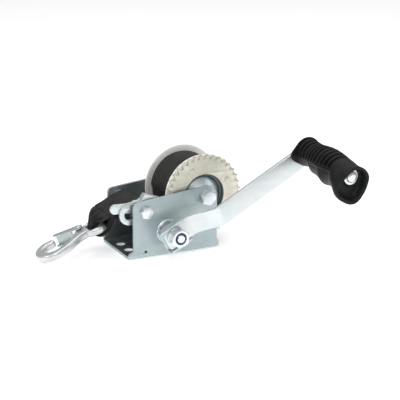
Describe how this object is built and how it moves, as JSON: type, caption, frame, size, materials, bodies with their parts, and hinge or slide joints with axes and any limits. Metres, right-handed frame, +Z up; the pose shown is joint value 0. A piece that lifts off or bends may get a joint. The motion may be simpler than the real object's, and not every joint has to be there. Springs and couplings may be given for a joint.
{
  "type": "boat trailer winch",
  "caption": "Hand-cranked boat trailer winch: folded steel frame, geared strap drum, two-way pawl, joggled crank with spinning grip, webbing strap and snap hook.",
  "frame": {"origin": "centre of the underside of the base plate", "axes": "+X from the hook end to the rear of the frame, +Y to the side away from the crank, +Z up from the base"},
  "size_m": [0.2669, 0.2125, 0.1125],
  "materials": {
    "frame_zinc": "clear zinc plate on folded sheet, satin, blue-grey",
    "drum_zinc": "pale yellow zinc plate, satin",
    "dish_zinc": "clear zinc plate, satin",
    "arm_zinc": "clear zinc plate on flat bar, pale satin",
    "fastener_zinc": "bright zinc plate",
    "spring_steel": "oiled steel",
    "hook_steel": "bright plated forging, smooth",
    "nylon": "dark blue locking ring",
    "grip_plastic": "black moulded, fine grain",
    "webbing": "black woven polyester webbing"
  },
  "bodies": {
    "root": {"frame": "frame_zinc", "near_bush": "fastener_zinc", "far_bush": "fastener_zinc", "axle_bolt": "fastener_zinc", "axle_sleeve": "spring_steel", "axle_washer": "fastener_zinc", "axle_nut": "fastener_zinc", "pawl_bolt": "fastener_zinc", "guide_sleeve": "dish_zinc", "pawl_washer": "fastener_zinc", "pawl_nut": "fastener_zinc", "pawl_spring": "spring_steel", "strap_lead": "webbing"},
    "drum": {"drum_core": "drum_zinc", "near_flange": "drum_zinc", "far_flange": "drum_zinc", "drum_gear": "drum_zinc", "gear_rivet_1": "drum_zinc", "gear_rivet_2": "drum_zinc", "gear_rivet_3": "drum_zinc", "gear_rivet_4": "drum_zinc", "near_hub": "dish_zinc", "far_hub": "dish_zinc", "strap_anchor_pin": "spring_steel", "strap_roll": "webbing"},
    "crank": {"pinion_shaft": "fastener_zinc", "pinion": "spring_steel", "shaft_retaining_ring": "spring_steel", "hub_bracket": "dish_zinc", "crank_arm": "arm_zinc", "crank_washer": "fastener_zinc", "crank_nut": "fastener_zinc", "nut_insert": "nylon", "grip_spindle": "fastener_zinc", "grip_washer": "fastener_zinc"},
    "grip": {"grip": "grip_plastic"},
    "pawl": {"pawl": "dish_zinc"},
    "hook": {"hook_body": "hook_steel", "latch_rivet": "fastener_zinc", "latch_spring": "spring_steel"},
    "latch": {"hook_latch": "dish_zinc"}
  },
  "joints": [
    {"name": "drum_spin", "type": "hinge", "parent": "root", "child": "drum", "pos_m": [0.0348, 0, 0.054], "axis": [0, 1, 0], "continuous": true},
    {"name": "crank_turn", "type": "hinge", "parent": "root", "child": "crank", "pos_m": [-0.00798, 0, 0.02515], "axis": [0, 1, 0], "continuous": true},
    {"name": "grip_spin", "type": "hinge", "parent": "crank", "child": "grip", "pos_m": [0.11819, -0.12, 0.09308], "axis": [0, 1, 0], "continuous": true},
    {"name": "pawl_tilt", "type": "hinge", "parent": "root", "child": "pawl", "pos_m": [-0.0303, -0.025, 0.0463], "axis": [0, 1, 0], "range_deg": [-14, 4]},
    {"name": "hook_swing", "type": "hinge", "parent": "root", "child": "hook", "pos_m": [-0.06481, 0, 0.02907], "axis": [0, 1, 0], "range_deg": [-60, 30]},
    {"name": "latch_swing", "type": "hinge", "parent": "hook", "child": "latch", "pos_m": [-0.08273, 0.0066, 0.02219], "axis": [-0.3584, 0, 0.9336], "range_deg": [0, 28], "stiffness_Nm_per_rad": 0.005, "springref_deg": -28.65}
  ],
  "couplings": [
    {"joint": "crank_turn", "follows": "drum_spin", "ratio": -3}
  ]
}
